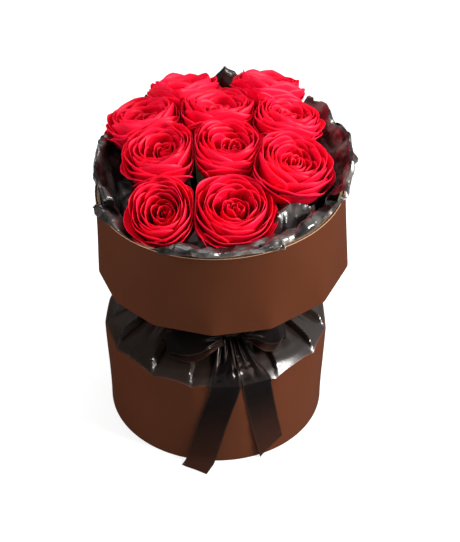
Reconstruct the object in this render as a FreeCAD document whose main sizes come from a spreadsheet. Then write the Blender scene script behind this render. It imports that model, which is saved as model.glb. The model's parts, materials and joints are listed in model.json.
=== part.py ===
"""A standing box of roses: two film-covered card drums, one above the other, gathered to a
tied waist, with ten cut roses in a pot of floral foam.

Millimetres, +Z up.  The origin is the centre of the underside and the front faces -Y.
Heights build up from the floor: base, drum, shoulder, waist, skirt, collar, rim, roses.
"""
import FreeCAD, Part
import itertools
import math
import os
import Sketcher

Vector = FreeCAD.Vector
Placement = FreeCAD.Placement
Rotation = FreeCAD.Rotation

doc = FreeCAD.newDocument("flower_box")

# ---------------------------------------------------------------- driving dimensions
sheet = doc.addObject("Spreadsheet::Sheet", "sizes")
DRIVING = [
    ("drum_radius", 92.0, "outer radius of the lower card tube"),
    ("drum_height", 86.0, "height of the lower card tube"),
    ("card_wall", 2.4, "wall of both card tubes"),
    ("board_thickness", 3.0, "thickness of the base board"),
    ("wrap_gap", 0.2, "room for the tape between a card tube and its film"),
    ("film_gauge", 0.8, "the wrapping film with its folded hem"),
    ("film_lip", 0.6, "how far the film stands past the edge of its card"),
    ("pleat_depth", 1.8, "gathered film on the slope of the shoulder and the skirt"),
    ("shoulder_rise", 13.0, "from the drum's top edge up to the waist"),
    ("ribbon_width", 25.0, "ribbon width, and the height of the waist it binds"),
    ("ribbon_gauge", 0.6, "thickness of the ribbon"),
    ("skirt_rise", 25.0, "from the waist up to the collar's lower edge"),
    ("collar_radius", 100.0, "outer radius of the upper card tube"),
    ("collar_height", 72.0, "height of the upper card tube"),
    ("collar_offset", 4.6, "the collar sits this far to the right of the drum"),
    ("collar_tilt", 2.3, "the collar's right side is this many degrees high"),
    ("neck_clearance", 1.5, "between the outermost stem and the gathered film"),
    ("tape_width", 18.0, "width of the tape under each film seam"),
    ("tie_width", 9.0, "width of the tie that holds the waist under the ribbon"),
    ("tie_gauge", 0.7, "thickness of that tie"),
    ("pot_radius", 55.0, "outer radius of the water pot"),
    ("pot_height", 70.0, "height of the water pot"),
    ("pot_wall", 1.6, "wall and floor of the water pot"),
    ("foam_gap", 0.4, "between the foam block and the pot"),
    ("foam_height", 60.0, "height of the foam block"),
    ("foot_height", 22.0, "height of the cut end of each stem"),
    ("foot_gap", 0.25, "between the two stems that stand closest, at their feet"),
    ("stem_radius", 2.8, "radius of a rose stem"),
    ("stem_clearance", 0.25, "between a stem and its hole in the foam"),
    ("cup_radius", 7.0, "radius of the green cup under a rose"),
    ("cup_height", 10.0, "height of that cup"),
    ("sepal_length", 12.0, "length of a sepal"),
    ("sepal_width", 7.0, "width of a sepal"),
    ("sepal_gauge", 0.8, "thickness of a sepal"),
    ("petal_gap", 0.5, "between two heads that are pressed together"),
    ("tissue_gauge", 1.2, "a folded sheet of tissue"),
    ("tissue_gap", 0.4, "between the tissue and the collar's card"),
    ("tissue_depth", 45.0, "how deep the tissue is tucked below the rim"),
    ("loop_length", 46.0, "length of a bow loop"),
    ("loop_height", 13.0, "height of a bow loop where it is widest"),
    ("knot_width", 16.0, "width of the knot"),
    ("knot_depth", 11.0, "how far the knot stands out from the ribbon"),
    ("knot_height", 13.0, "height of the knot"),
    ("knot_rise", 4.0, "how far the knot sits above the ribbon's middle"),
    ("bow_gap", 1.5, "between the knot and the start of a bow loop"),
    ("bow_azimuth", 282.0, "bearing of the knot, 270 is straight to the front"),
    ("gathered_width", 10.0, "width of the ribbon where it leaves the knot"),
    ("tail_standoff", 0.5, "between a tail and the film it hangs against"),
    ("tail_lift", 8.0, "height of a tail over the drum where it crosses the shoulder"),
    ("tail_end", 7.0, "height over the table where the tails end or turn"),
    ("tail_rest", 12.0, "how much of the long tail lies on the table"),
]

# Each rose: place over the collar (right, back), height of the widest ring of petals above the
# collar's rim, and radius there. Place and radius are shares of the collar's radius.
ROSES = {
    "rose_01": (-0.45, -0.52, 11.0, 0.260),
    "rose_02": (0.10, -0.54, 11.0, 0.295),
    "rose_03": (0.57, -0.13, 21.0, 0.300),
    "rose_04": (-0.46, 0.02, 26.0, 0.280),
    "rose_05": (0.07, 0.02, 30.0, 0.270),
    "rose_06": (-0.60, 0.46, 30.0, 0.285),
    "rose_07": (0.00, 0.50, 35.0, 0.300),
    "rose_08": (0.56, 0.39, 33.0, 0.270),
    "rose_09": (-0.28, 0.81, 35.0, 0.265),
    "rose_10": (0.42, 0.80, 35.0, 0.270),
}

# Each sheet of tissue: bearing of its middle, how wide it is round the collar in degrees,
# height above the rim, and how far its top leans out.
TISSUE = {
    "tissue_front": (270.0, 42.0, 13.0, 4.0),
    "tissue_front_right": (315.0, 42.0, 22.0, 10.0),
    "tissue_right": (0.0, 42.0, 34.0, 14.0),
    "tissue_back_right": (45.0, 42.0, 11.0, 8.0),
    "tissue_back": (90.0, 42.0, 14.0, 5.0),
    "tissue_back_left": (135.0, 42.0, 14.0, 5.0),
    "tissue_left": (180.0, 42.0, 28.0, 9.0),
    "tissue_front_left": (225.0, 42.0, 20.0, 7.0),
}

for row, (alias, value, meaning) in enumerate(DRIVING, start=1):
    sheet.set(f"A{row}", meaning)
    sheet.set(f"B{row}", str(value))
    sheet.setAlias(f"B{row}", alias)
doc.recompute()


def size(alias):
    """The value of one named size."""
    return float(sheet.get(alias))


def derive(alias, value, meaning):
    """Adds a worked-out value to the sheet, so that features can be bound to it too."""
    row = len(DRIVING) + 1 + len(derived)
    derived.append(alias)
    sheet.set(f"A{row}", meaning)
    sheet.set(f"B{row}", repr(value))
    sheet.setAlias(f"B{row}", alias)
    return value


# ---------------------------------------------------------------- worked-out dimensions
derived = []
film_radius = derive("film_radius", size("drum_radius") + size("wrap_gap") + size("film_gauge"),
                     "outside of the drum's film")
shoulder_top = derive("shoulder_top", size("drum_height") + size("film_lip"),
                      "height of the shoulder's outer edge")
waist_low = derive("waist_low", shoulder_top + size("shoulder_rise"), "lower end of the waist")
waist_high = derive("waist_high", waist_low + size("ribbon_width"), "upper end of the waist")
collar_low = derive("collar_low", waist_high + size("skirt_rise"), "collar's lower edge")
rim = derive("rim", collar_low + size("collar_height"), "collar's rim")
collar_film = derive("collar_film",
                     size("collar_radius") + size("wrap_gap") + size("film_gauge"),
                     "outside of the collar's film")


# The collar, its tissue and its roses share one frame, a little to the right and tilted.
over_collar = Placement(Vector(size("collar_offset"), 0, 0),
                        Rotation(Vector(0, 1, 0), -size("collar_tilt")),
                        Vector(0, 0, collar_low + size("collar_height") / 2))


def head_centre(name):
    """The middle of a rose's widest ring of petals."""
    right, back, above, _ = ROSES[name]
    reach = size("collar_radius")
    return over_collar.multVec(Vector(right * reach, back * reach, rim + above))


def head_radius(name):
    """The radius of a rose at its widest ring of petals."""
    return ROSES[name][3] * size("collar_radius")


def level_distance(name, other):
    """How far apart two heads stand, seen from above."""
    apart = head_centre(name) - head_centre(other)
    return math.hypot(apart.x, apart.y)


# The stems run together towards their feet, until the closest two nearly touch.
closest = min(level_distance(*pair) for pair in itertools.combinations(ROSES, 2))
foot_share = (2 * size("stem_radius") + size("foot_gap")) / closest


def foot_point(name):
    """The cut end of a rose's stem, in the foam."""
    centre = head_centre(name)
    return Vector(centre.x * foot_share, centre.y * foot_share, size("foot_height"))


def stem_axis(name):
    """Unit vector from a rose's foot to its head, along which it pulls out."""
    axis = head_centre(name) - foot_point(name)
    return axis.normalize()


def stem_reach(name, height):
    """How far from the waist's middle the outside of a stem is at a height."""
    foot, axis = foot_point(name), stem_axis(name)
    point = foot + axis * ((height - foot.z) / axis.z)
    return math.hypot(point.x, point.y) + size("stem_radius") / axis.z


bundle = max(stem_reach(name, waist_high) for name in ROSES)
neck_inside = derive("neck_inside", bundle + size("neck_clearance"), "inside of the waist")
neck_film = derive("neck_film", neck_inside + size("film_gauge"), "outside of the film there")
tie_outside = derive("tie_outside", neck_film + size("tie_gauge"), "outside of the tie")
band_outside = derive("band_outside", tie_outside + size("ribbon_gauge"),
                      "outside of the ribbon band")
doc.recompute()

parts = []


def keep(feature, label):
    """Names a finished sub-part and lists it for writing."""
    feature.Label = label
    parts.append(feature)
    return feature


# ---------------------------------------------------------------- ways of making a piece
formulas = doc.addObject("App::FeaturePython", "formulas")


def sheet_value(formula):
    """Works out a formula that is written with the sheet's names."""
    return float(formulas.evalExpression(formula))


def turned(label, outline, sweep=None, about=None):
    """A body turned about the vertical through an outline of (radius, height) formulas."""
    body = doc.addObject("PartDesign::Body", label + "_body")
    plane = next(o for o in body.Origin.OriginFeatures if o.Role == "XZ_Plane")
    sketch = body.newObject("Sketcher::SketchObject", label + "_outline")
    sketch.AttachmentSupport = [(plane, "")]
    sketch.MapMode = "FlatFace"
    values = [tuple(sheet_value(formula) for formula in point) for point in outline]
    count = len(outline)
    for i in range(count):
        start = Vector(*values[i], 0)
        end = Vector(*values[(i + 1) % count], 0)
        sketch.addGeometry(Part.LineSegment(start, end), False)
    for i in range(count):
        sketch.addConstraint(Sketcher.Constraint("Coincident", i, 2, (i + 1) % count, 1))
    for i, (radius, height) in enumerate(outline):
        for kind, formula, value, axis in (("DistanceX", radius, values[i][0], -2),
                                           ("DistanceY", height, values[i][1], -1)):
            if formula == "0":
                sketch.addConstraint(Sketcher.Constraint("PointOnObject", i, 1, axis))
                continue
            rank = sketch.addConstraint(Sketcher.Constraint(kind, -1, 1, i, 1, value))
            sketch.setExpression(f"Constraints[{rank}]", formula)
    turn = body.newObject("PartDesign::Revolution", label + "_turn")
    turn.Profile = sketch
    turn.ReferenceAxis = (sketch, ["V_Axis"])
    turn.Angle = 360.0 if sweep is None else sweep
    if about is not None:
        body.Placement = about
    return keep(body, label)


def ring(label, inside, outside, low, high, about=None):
    """A plain ring."""
    return turned(label, [(inside, low), (outside, low), (outside, high), (inside, high)],
                  about=about)


def solid_between(sections):
    """A closed solid ruled through a row of flat four-sided sections."""
    wires = [Part.makePolygon(corners + corners[:1]) for corners in sections]
    return Part.makeLoft(wires, True, True)


def shaped(label, shape, placement=None):
    """A sub-part whose shape is worked out here."""
    feature = doc.addObject("Part::Feature", label + "_shape")
    feature.Shape = shape
    if placement is not None:
        feature.Placement = placement
    return keep(feature, label)


BACK = 90.0     # bearing of the film seams, behind


def tape(label, radius, low, high, about):
    """A strip of tape round a card tube, under the film's seam at the back."""
    sweep = math.degrees(size("tape_width") / sheet_value(radius))
    spin = Placement(Vector(0, 0, 0), Rotation(Vector(0, 0, 1), BACK - sweep / 2))
    outline = [(radius, low), (radius + " + sizes.wrap_gap", low),
               (radius + " + sizes.wrap_gap", high), (radius, high)]
    return turned(label, outline, sweep=sweep, about=about.multiply(spin))


# ---------------------------------------------------------------- lower drum
turned("base_board", [("0", "0"), ("sizes.drum_radius - sizes.card_wall", "0"),
                      ("sizes.drum_radius - sizes.card_wall", "sizes.board_thickness"),
                      ("0", "sizes.board_thickness")])
ring("drum_tube", "sizes.drum_radius - sizes.card_wall", "sizes.drum_radius",
     "0", "sizes.drum_height")
ring("drum_wrap", "sizes.drum_radius + sizes.wrap_gap", "sizes.film_radius",
     "sizes.film_lip / 2", "sizes.shoulder_top")
tape("drum_tape", "sizes.drum_radius", "sizes.board_thickness",
     "sizes.drum_height", Placement())

# ---------------------------------------------------------------- water pot and foam
turned("water_pot", [
    ("0", "sizes.board_thickness"),
    ("sizes.pot_radius", "sizes.board_thickness"),
    ("sizes.pot_radius", "sizes.board_thickness + sizes.pot_height"),
    ("sizes.pot_radius - sizes.pot_wall", "sizes.board_thickness + sizes.pot_height"),
    ("sizes.pot_radius - sizes.pot_wall", "sizes.board_thickness + sizes.pot_wall"),
    ("0", "sizes.board_thickness + sizes.pot_wall")])

foam_low = size("board_thickness") + size("pot_wall")
foam_top = foam_low + size("foam_height")
foam_radius = size("pot_radius") - size("pot_wall") - size("foam_gap")
foam_block = Part.makeCylinder(foam_radius, size("foam_height"), Vector(0, 0, foam_low))
hole_radius = size("stem_radius") + size("stem_clearance")
for name in ROSES:
    hole = Part.makeCylinder(hole_radius, 2 * size("foam_height"), foot_point(name),
                             stem_axis(name))
    foam_block = foam_block.cut(hole)
shaped("floral_foam", foam_block)

# ---------------------------------------------------------------- gathered waist
# The shoulder slopes in from the drum to the waist and runs up to the ribbon's middle;
# the skirt starts there and slopes out again to the collar.
WAIST_MIDDLE = "sizes.waist_low + sizes.ribbon_width / 2"
waist_middle = sheet_value(WAIST_MIDDLE)
turned("shoulder_film", [
    ("sizes.film_radius", "sizes.shoulder_top"),
    ("sizes.neck_film", "sizes.waist_low"),
    ("sizes.neck_film", WAIST_MIDDLE),
    ("sizes.neck_inside", WAIST_MIDDLE),
    ("sizes.neck_inside", "sizes.waist_low - sizes.pleat_depth"),
    ("sizes.film_radius - 3 * sizes.pleat_depth", "sizes.shoulder_top")])
ring("neck_tie", "sizes.neck_film", "sizes.tie_outside",
     WAIST_MIDDLE + " - sizes.tie_width / 2", WAIST_MIDDLE + " + sizes.tie_width / 2")


def level(label, radius, place):
    """A circle that a loft passes through."""
    circle = doc.addObject("Part::Circle", label)
    circle.setExpression("Radius", radius)
    circle.Placement = place
    return circle


def lofted(label, rings):
    """A solid ruled through circles."""
    loft = doc.addObject("Part::Loft", label)
    loft.Sections = [level(f"{label}_{i}", *r) for i, r in enumerate(rings)]
    loft.Solid = True
    loft.Ruled = True
    return loft


def at_height(height):
    """A level place on the drum's axis."""
    return Placement(Vector(0, 0, height), Rotation())


collar_foot = over_collar.multiply(at_height(collar_low))
skirt = doc.addObject("Part::Cut", "skirt")
skirt.Base = lofted("skirt_outside", [
    ("sizes.neck_film", at_height(waist_middle)),
    ("sizes.neck_film", at_height(waist_high)),
    ("sizes.collar_film", collar_foot)])
skirt.Tool = lofted("skirt_inside", [
    ("sizes.neck_inside", at_height(waist_middle)),
    ("sizes.neck_inside", at_height(waist_high + size("pleat_depth"))),
    ("sizes.collar_film - 3 * sizes.pleat_depth", collar_foot)])
keep(skirt, "skirt_film")

# ---------------------------------------------------------------- collar
ring("collar_tube", "sizes.collar_radius - sizes.card_wall", "sizes.collar_radius",
     "sizes.collar_low", "sizes.rim", about=over_collar)
ring("collar_wrap", "sizes.collar_radius + sizes.wrap_gap", "sizes.collar_film",
     "sizes.collar_low", "sizes.rim + sizes.film_lip", about=over_collar)
tape("collar_tape", "sizes.collar_radius", "sizes.collar_low", "sizes.rim", over_collar)

# Crumpled tissue is tucked between the card and the stems, and leans out over the rim.
TISSUE_OUT = "sizes.collar_radius - sizes.card_wall - sizes.tissue_gap"
TISSUE_IN = TISSUE_OUT + " - sizes.tissue_gauge"
TUCKED = "sizes.rim - sizes.tissue_depth"
for name, (bearing, span, above, lean) in TISSUE.items():
    spin = Placement(Vector(0, 0, 0), Rotation(Vector(0, 0, 1), bearing - span / 2))
    turned(name, [
        (TISSUE_IN, TUCKED),
        (TISSUE_OUT, TUCKED),
        (TISSUE_OUT, "sizes.rim"),
        (f"{TISSUE_OUT} + {lean}", f"sizes.rim + {above}"),
        (f"{TISSUE_IN} + {lean}", f"sizes.rim + {above}"),
        (TISSUE_IN, "sizes.rim + sizes.tissue_gauge / 2")],
        sweep=span, about=over_collar.multiply(spin))

# ---------------------------------------------------------------- ribbon and bow
ring("ribbon_band", "sizes.tie_outside", "sizes.band_outside",
     "sizes.waist_low", "sizes.waist_high")
UP = Vector(0, 0, 1)


def outward(bearing):
    """Unit vector that points away from the drum's axis."""
    return Vector(math.cos(math.radians(bearing)), math.sin(math.radians(bearing)), 0)


bow_out = outward(size("bow_azimuth"))
bow_side = UP.cross(bow_out)                     # along the ribbon, to the right
LOOP_THROAT = 3.0       # half the height of a bow loop where it leaves the knot
LOOP_BACK = 0.12        # how far a loop leans back, to the side, as a share
LOOP_DROOP = 0.14       # how far it hangs down along its length, as a share
LOOP_TURN = 0.3         # how far its outer edge hangs lower than its inner one
LOOP_STANDOFF = 2.0     # between the ribbon round the waist and a loop

knot_block = doc.addObject("Part::Box", "knot_block")
knot_block.setExpression("Length", "sizes.knot_width")
knot_block.setExpression("Width", "sizes.knot_depth")
knot_block.setExpression("Height", "sizes.knot_height")
doc.recompute()
knot_half = size("knot_width") / 2
knot_middle = waist_middle + size("knot_rise")
knot_low = knot_middle - size("knot_height") / 2
knot_block.Placement = Placement(
    bow_out * (size("band_outside") + size("knot_depth")) + bow_side * knot_half
    + UP * knot_low, Rotation(Vector(0, 0, 1), size("bow_azimuth") - 90))
knot = doc.addObject("Part::Fillet", "knot")
knot.Base = knot_block
round_off = min(size("knot_depth"), size("knot_width")) / 4
knot.Edges = [(edge, round_off, round_off) for edge in range(1, 13)]
keep(knot, "ribbon_knot")


def bow_loop(label, side):
    """A flat closed loop that droops from the knot over the shoulder, to one side."""
    length, half = size("loop_length"), size("loop_height") / 2
    gauge = size("ribbon_gauge")

    def teardrop(inset):
        waist, belly = LOOP_THROAT - inset, half - inset
        turn = length - half
        return Part.Face(Part.Wire([
            Part.LineSegment(Vector(inset, waist, 0), Vector(turn, belly, 0)).toShape(),
            Part.Arc(Vector(turn, belly, 0), Vector(turn + belly, 0, 0),
                     Vector(turn, -belly, 0)).toShape(),
            Part.LineSegment(Vector(turn, -belly, 0), Vector(inset, -waist, 0)).toShape(),
            Part.LineSegment(Vector(inset, -waist, 0), Vector(inset, waist, 0)).toShape()]))

    width = size("ribbon_width")
    strip = teardrop(0).cut(teardrop(gauge)).extrude(Vector(0, 0, width))
    strip.translate(Vector(0, 0, -width / 2))
    along = bow_side * side - bow_out * LOOP_BACK - UP * LOOP_DROOP
    across = bow_out - UP * LOOP_TURN
    start = (bow_side * (side * (knot_half + size("bow_gap")))
             + bow_out * (size("band_outside") + width / 2 + LOOP_STANDOFF)
             + UP * knot_middle)
    turn = Rotation(along.normalize(), Vector(), across, "XZY")
    shaped(label, strip, Placement(start, turn))


bow_loop("ribbon_loop_left", -1)
bow_loop("ribbon_loop_right", 1)


def tail(label, side, stations):
    """A run of ribbon, on one side of the bow's middle, through stations.

    A station is how far the near edge is from the middle, a (radius, height), the width and
    the face angle, which is 0 where the ribbon lies flat and 90 where it hangs against the drum.
    """
    sections = []
    for parting, (radius, height), width, facing in stations:
        out = outward(size("bow_azimuth") + side * math.degrees((parting + width / 2) / radius))
        face = out * math.sin(math.radians(facing)) + UP * math.cos(math.radians(facing))
        half_width = UP.cross(out) * (width / 2)
        half_gauge = face * (size("ribbon_gauge") / 2)
        middle = out * radius + UP * height
        sections.append([middle - half_width - half_gauge, middle + half_width - half_gauge,
                         middle + half_width + half_gauge, middle - half_width + half_gauge])
    shaped(label, solid_between(sections))


SLOPE, EDGE, DOWN, TURNED = 20, 50, 90, 45      # face angles along a tail
wide, narrow = size("ribbon_width"), size("gathered_width")
spreading = (wide + narrow) / 2
hang = film_radius + size("tail_standoff") + size("ribbon_gauge") / 2
table = size("ribbon_gauge") / 2
knot_foot = (size("band_outside") + size("knot_depth") * 0.8, knot_low - 1)
mid_slope = (film_radius - size("shoulder_rise"), shoulder_top + size("tail_lift"))
edge_over = (hang + size("tail_standoff"), shoulder_top + 2 * size("ribbon_gauge"))
below_edge = (hang, shoulder_top - size("ribbon_width") / 6)
half_way = (hang, shoulder_top / 2)
near_foot = (hang, size("tail_end"))
turning = (hang + size("tail_end") / 2, 2 * size("ribbon_gauge"))
laid = (hang + size("tail_end"), table)
at_rest = (hang + size("tail_end") + size("tail_rest"), table)
tail("ribbon_tail_left", -1, [
    (1.7, knot_foot, narrow, SLOPE),
    (0.8, mid_slope, spreading, SLOPE),
    (0.0, edge_over, wide, EDGE),
    (0.6, below_edge, wide, DOWN),
    (10.4, half_way, wide, DOWN),
    (19.5, near_foot, wide, DOWN),
    (21.5, turning, wide, TURNED),
    (23.6, laid, wide, 0),
    (29.0, at_rest, wide, 0)])
tail("ribbon_tail_right", 1, [
    (1.7, knot_foot, narrow, SLOPE),
    (1.3, mid_slope, spreading, SLOPE),
    (1.5, edge_over, wide, EDGE),
    (2.2, below_edge, wide, DOWN),
    (8.8, half_way, wide, DOWN),
    (16.2, near_foot, wide, DOWN)])

# ---------------------------------------------------------------- roses
BELLY_DOWN = 0.85       # a head's depth below its widest ring, in radii
CROWN_UP = 0.70         # and its height above it
CROWN_SHARE = 0.72      # the radius of the open top, in radii
SEAT = 1.5              # how much wider than its cup a head is where they meet
SEPAL_DROOP = 25        # how far a sepal hangs below level, in degrees
STEM_CUT = 40           # the slant of the cut at a stem's foot, in degrees


def rose_frame(name):
    """A rose's own frame: the widest ring's middle, with Z along the stem."""
    return Placement(head_centre(name), Rotation(UP, stem_axis(name)))


def pressed_plane(name, other):
    """Where two heads press together, as a point and a normal that faces the other."""
    mine, theirs = head_centre(name), head_centre(other)
    apart = theirs - mine
    share = head_radius(name) / (head_radius(name) + head_radius(other))
    between = (stem_axis(name) + stem_axis(other)).normalize()
    normal = (apart - between * apart.dot(between)).normalize()
    return mine + apart * share - normal * (size("petal_gap") / 2), normal


def head_shape(name):
    """A rounded head, flattened where its neighbours press on it."""
    radius = head_radius(name)
    low, high = -BELLY_DOWN * radius, CROWN_UP * radius
    base = size("cup_radius") + SEAT
    side = Part.Arc(Vector(base, 0, low), Vector(radius, 0, 0),
                    Vector(CROWN_SHARE * radius, 0, high)).toShape()
    outline = Part.Wire([
        Part.LineSegment(Vector(0, 0, low), Vector(base, 0, low)).toShape(), side,
        Part.LineSegment(Vector(CROWN_SHARE * radius, 0, high), Vector(0, 0, high)).toShape(),
        Part.LineSegment(Vector(0, 0, high), Vector(0, 0, low)).toShape()])
    head = Part.Face(outline).revolve(Vector(0, 0, 0), UP, 360)
    to_rose = rose_frame(name).inverse()
    for other in ROSES:
        near = head_centre(name).distanceToPoint(head_centre(other))
        if other == name or near > radius + head_radius(other) + size("petal_gap"):
            continue
        point, normal = pressed_plane(name, other)
        block_size = 4 * radius
        block = Part.makeBox(block_size, block_size, block_size,
                             Vector(-block_size / 2, -block_size / 2, 0))
        block.Placement = to_rose.multiply(Placement(point, Rotation(UP, normal)))
        head = head.cut(block)
    return head


def calyx_shape(low):
    """The green cup under a head, with five sepals that lie out from its rim."""
    cup = Part.makeCone(size("stem_radius"), size("cup_radius"), size("cup_height"),
                        Vector(0, 0, low - size("cup_height")))
    length, half, gauge = size("sepal_length"), size("sepal_width") / 2, size("sepal_gauge")
    inside, widest, root = -SEAT, length * 0.4, half * 0.6
    blade = Part.Face(Part.makePolygon([
        Vector(inside, -root, 0), Vector(widest, -half, 0), Vector(length, 0, 0),
        Vector(widest, half, 0), Vector(inside, root, 0), Vector(inside, -root, 0),
    ])).extrude(Vector(0, 0, -gauge))
    blade.rotate(Vector(0, 0, 0), Vector(0, 1, 0), SEPAL_DROOP)
    blade.translate(Vector(size("cup_radius") - SEAT, 0, low - 1.5 * gauge))
    sepals = []
    for turn in range(5):
        sepal = blade.copy()
        sepal.rotate(Vector(0, 0, 0), UP, turn * 72)
        sepals.append(sepal)
    return cup.multiFuse(sepals).removeSplitter()


def stem_shape(length, top):
    """A straight stem with a slanting cut at its foot."""
    radius = size("stem_radius")
    stem = Part.makeCylinder(radius, length + top, Vector(0, 0, -length))
    wedge = Part.makeBox(4 * radius, 4 * radius, 4 * radius,
                         Vector(-2 * radius, -2 * radius, -4 * radius))
    wedge.rotate(Vector(0, 0, 0), Vector(0, 1, 0), STEM_CUT)
    wedge.translate(Vector(0, 0, radius * math.tan(math.radians(STEM_CUT)) - length))
    return stem.cut(wedge)


for name in ROSES:
    frame = rose_frame(name)
    base = -BELLY_DOWN * head_radius(name)
    length = foot_point(name).distanceToPoint(head_centre(name))
    shaped(name + "_head", head_shape(name), frame)
    shaped(name + "_calyx", calyx_shape(base), frame)
    shaped(name + "_stem", stem_shape(length, base - size("cup_height")), frame)

# ---------------------------------------------------------------- checking and writing
doc.recompute()
for feature in doc.Objects:
    if "Invalid" in feature.State or "Error" in feature.State:
        raise RuntimeError(f"{feature.Label} did not build: {feature.State}")
os.makedirs("parts", exist_ok=True)
for feature in parts:
    shape = feature.Shape
    if shape.isNull() or not shape.isValid() or not shape.Solids:
        raise RuntimeError(f"{feature.Label} has no sound solid")
    shape.exportStep(f"parts/{feature.Label}.step")
    print(f"{feature.Label:22s} {shape.Volume / 1000:9.2f} cm3  solids {len(shape.Solids)}")
print(f"neck inside {neck_inside:.2f}  rim {rim:.1f}  pieces {len(parts)}")
for name in ROSES:
    centre, foot, axis = head_centre(name), foot_point(name), stem_axis(name)
    print(f"{name} axis {axis.x:.5f} {axis.y:.5f} {axis.z:.5f}  "
          f"head {centre.x:.1f} {centre.y:.1f} {centre.z:.1f}")
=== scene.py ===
# %% [markdown]
# # Flower box
# Two film-wrapped card drums, gathered between at a tied waist with a satin bow. Dark crumpled
# tissue lines the rim, and ten open red roses stand over it. Lengths are in millimetres until
# a mesh is made; meshes are in metres.

# %% Frame
import json
import math

import bpy
import numpy as np
from mathutils import Matrix, Vector

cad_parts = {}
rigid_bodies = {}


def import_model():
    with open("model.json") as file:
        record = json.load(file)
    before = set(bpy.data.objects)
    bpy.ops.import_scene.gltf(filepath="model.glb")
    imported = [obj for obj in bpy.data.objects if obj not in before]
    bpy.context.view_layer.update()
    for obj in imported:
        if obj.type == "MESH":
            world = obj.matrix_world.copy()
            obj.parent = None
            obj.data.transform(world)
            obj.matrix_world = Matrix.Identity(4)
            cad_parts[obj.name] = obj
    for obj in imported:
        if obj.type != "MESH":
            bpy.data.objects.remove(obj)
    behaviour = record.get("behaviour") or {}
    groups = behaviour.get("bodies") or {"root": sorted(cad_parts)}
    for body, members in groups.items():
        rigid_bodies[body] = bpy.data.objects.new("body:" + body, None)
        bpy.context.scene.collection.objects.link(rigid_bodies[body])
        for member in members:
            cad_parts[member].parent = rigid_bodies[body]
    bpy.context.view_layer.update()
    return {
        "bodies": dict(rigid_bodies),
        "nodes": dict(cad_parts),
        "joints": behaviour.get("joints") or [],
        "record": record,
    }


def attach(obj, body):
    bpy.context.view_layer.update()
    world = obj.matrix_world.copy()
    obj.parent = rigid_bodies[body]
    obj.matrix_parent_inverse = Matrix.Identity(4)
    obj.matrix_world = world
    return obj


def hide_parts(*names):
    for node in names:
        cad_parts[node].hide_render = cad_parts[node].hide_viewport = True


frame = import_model()
MM = 0.001
FILM_GAUGE, PLEAT_GAUGE, TISSUE_GAUGE = 0.35, 0.3, 0.25
RIBBON_GAUGE, PETAL_GAUGE, LEAF_GAUGE = 0.4, 0.35, 0.6
UP = np.array([0.0, 0.0, 1.0])
ROSES = sorted(body for body in frame["bodies"] if body.startswith("rose"))
print("frame", len(frame["nodes"]), "nodes,", len(ROSES), "roses")


# %% [markdown]
# ## Shader maths
# A `Field` is a value inside a shader. It takes the usual operators, so that a pattern reads as
# a formula.

# %% Shader maths
class Field:
    def __init__(self, tree, socket):
        self.tree, self.socket = tree, socket

    def node(self, kind, *inputs, **settings):
        made = self.tree.nodes.new(kind)
        for key, value in settings.items():
            setattr(made, key, value)
        for index, value in enumerate(inputs):
            if isinstance(value, Field):
                self.tree.links.new(value.socket, made.inputs[index])
            elif value is not None:
                made.inputs[index].default_value = value
        return made

    def math(self, operation, other=None, third=None):
        made = self.node("ShaderNodeMath", self, other, third, operation=operation)
        return Field(self.tree, made.outputs[0])

    def __add__(self, other):
        return self.math("ADD", other)

    def __sub__(self, other):
        return self.math("SUBTRACT", other)

    def __mul__(self, other):
        return self.math("MULTIPLY", other)

    def __truediv__(self, other):
        return self.math("DIVIDE", other)

    def __pow__(self, other):
        return self.math("POWER", other)

    def __rsub__(self, other):
        return (self * -1.0) + other

    def sine(self):
        return self.math("SINE")

    def size(self):
        return self.math("ABSOLUTE")

    def clamp(self):
        return self.math("MINIMUM", 1.0).math("MAXIMUM", 0.0)

    def rise(self, low, high):
        """0 below low, 1 above high, and smooth between."""
        made = self.node("ShaderNodeMapRange", self, low, high, 0.0, 1.0,
                         interpolation_type="SMOOTHSTEP")
        return Field(self.tree, made.outputs[0])

    def mix(self, start, end):
        """The colour from start to end, where this value is the share of end."""
        made = self.tree.nodes.new("ShaderNodeMix")
        made.data_type = "RGBA"
        self.tree.links.new(self.socket, made.inputs[0])
        for index, value in ((6, start), (7, end)):
            if isinstance(value, Field):
                self.tree.links.new(value.socket, made.inputs[index])
            else:
                made.inputs[index].default_value = (*value, 1.0)
        return Field(self.tree, made.outputs[2])


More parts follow.
